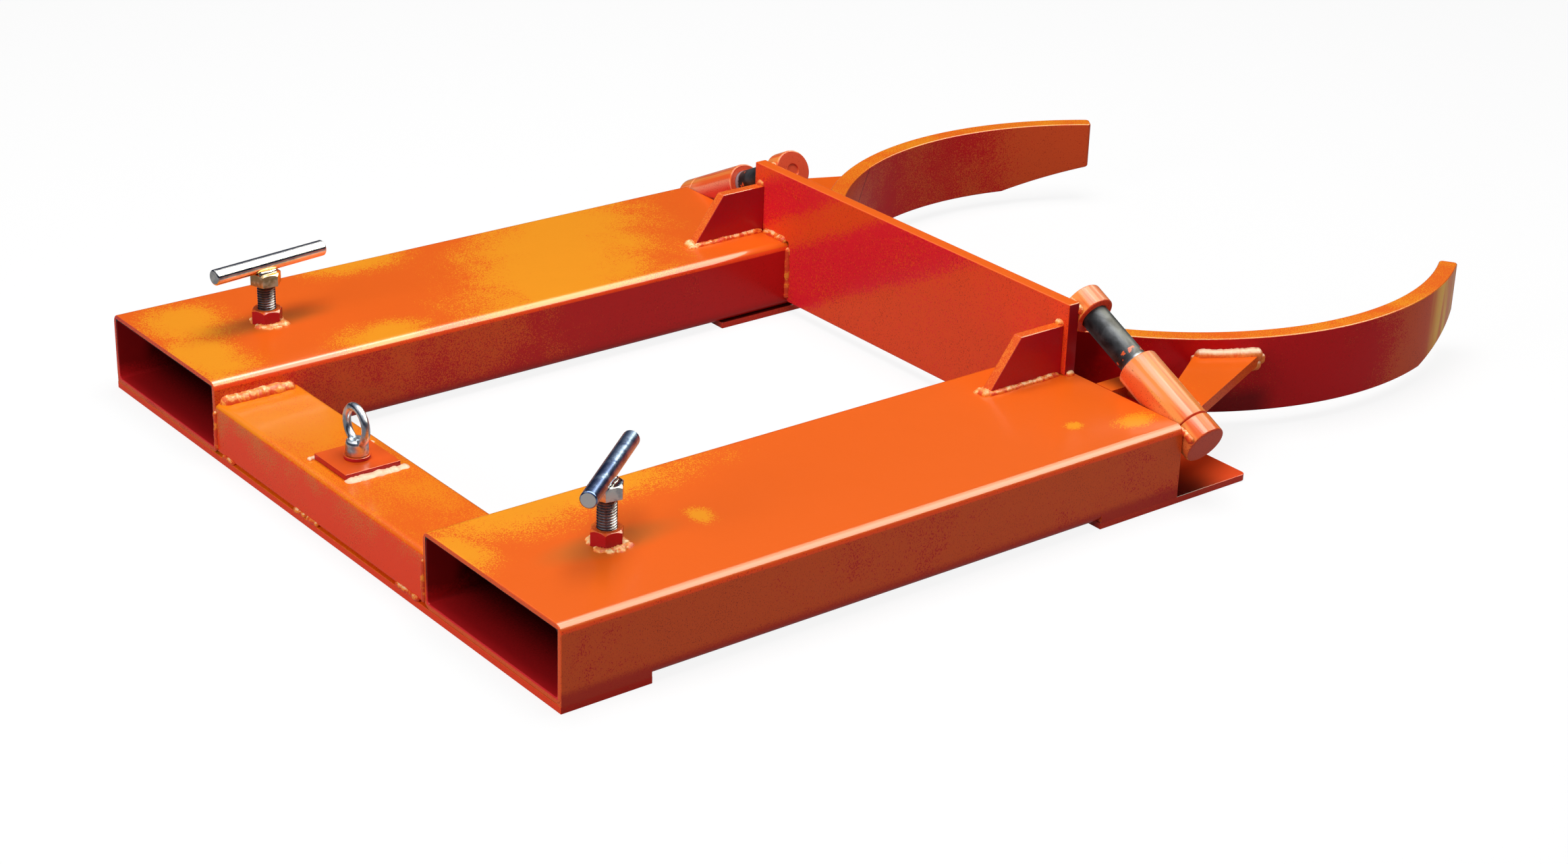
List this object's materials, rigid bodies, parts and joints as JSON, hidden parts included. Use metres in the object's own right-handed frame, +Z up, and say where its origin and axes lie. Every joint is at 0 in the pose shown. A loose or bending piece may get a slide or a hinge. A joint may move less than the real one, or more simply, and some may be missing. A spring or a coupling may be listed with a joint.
{
  "type": "fork-mounted drum clamp",
  "caption": "Fork-mounted drum clamp: two fork pockets tied by a heel beam and a back plate, with curved arms that swing on inclined pins and close on a drum by their own weight.",
  "frame": {"origin": "on the floor, at the middle of the heel skid's underside, below the eye bolt", "axes": "+X along the fork pockets towards the drum, +Y to the left, +Z up"},
  "size_m": [1.0744, 0.7326, 0.1442],
  "materials": {
    "orange_paint": "glossy orange-red paint over welded steel",
    "pin_steel": "dark oiled steel bar",
    "zinc_plate": "bright zinc plate"
  },
  "bodies": {
    "frame": {"fork_pocket_right": "orange_paint", "fork_pocket_left": "orange_paint", "heel_beam": "orange_paint", "heel_skid": "orange_paint", "front_skid_right": "orange_paint", "front_skid_left": "orange_paint", "back_plate": "orange_paint", "gusset_right": "orange_paint", "gusset_left": "orange_paint", "upper_collar_right": "orange_paint", "upper_collar_left": "orange_paint", "lower_collar_right": "orange_paint", "lower_collar_left": "orange_paint", "hinge_pin_right": "pin_steel", "hinge_pin_left": "pin_steel", "weld_nut_right": "orange_paint", "weld_nut_left": "orange_paint", "eye_pad": "orange_paint", "eye_boss": "orange_paint", "eye_bolt": "zinc_plate"},
    "arm_right": {"hinge_sleeve_right": "orange_paint", "arm_bracket_right": "orange_paint", "arm_root_right": "orange_paint", "clamp_arm_right": "orange_paint"},
    "screw_right": {"clamp_screw_right": "zinc_plate", "tee_bar_right": "zinc_plate"},
    "arm_left": {"hinge_sleeve_left": "orange_paint", "arm_bracket_left": "orange_paint", "arm_root_left": "orange_paint", "clamp_arm_left": "orange_paint"},
    "screw_left": {"clamp_screw_left": "zinc_plate", "tee_bar_left": "zinc_plate"}
  },
  "joints": [
    {"name": "arm_right_swing", "type": "hinge", "parent": "frame", "child": "arm_right", "pos_m": [0.5953, -0.3585, 0.051], "axis": [0, -0.9006, -0.4347], "range_deg": [0, 70]},
    {"name": "arm_left_swing", "type": "hinge", "parent": "frame", "child": "arm_left", "pos_m": [0.5953, 0.3585, 0.051], "axis": [0, -0.9006, 0.4347], "range_deg": [0, 70]},
    {"name": "screw_right_travel", "type": "slide", "parent": "frame", "child": "screw_right", "axis": [0, 0, 1], "range_m": [-0.0257, 0.006]},
    {"name": "screw_left_travel", "type": "slide", "parent": "frame", "child": "screw_left", "axis": [0, 0, 1], "range_m": [-0.0227, 0.009]}
  ]
}
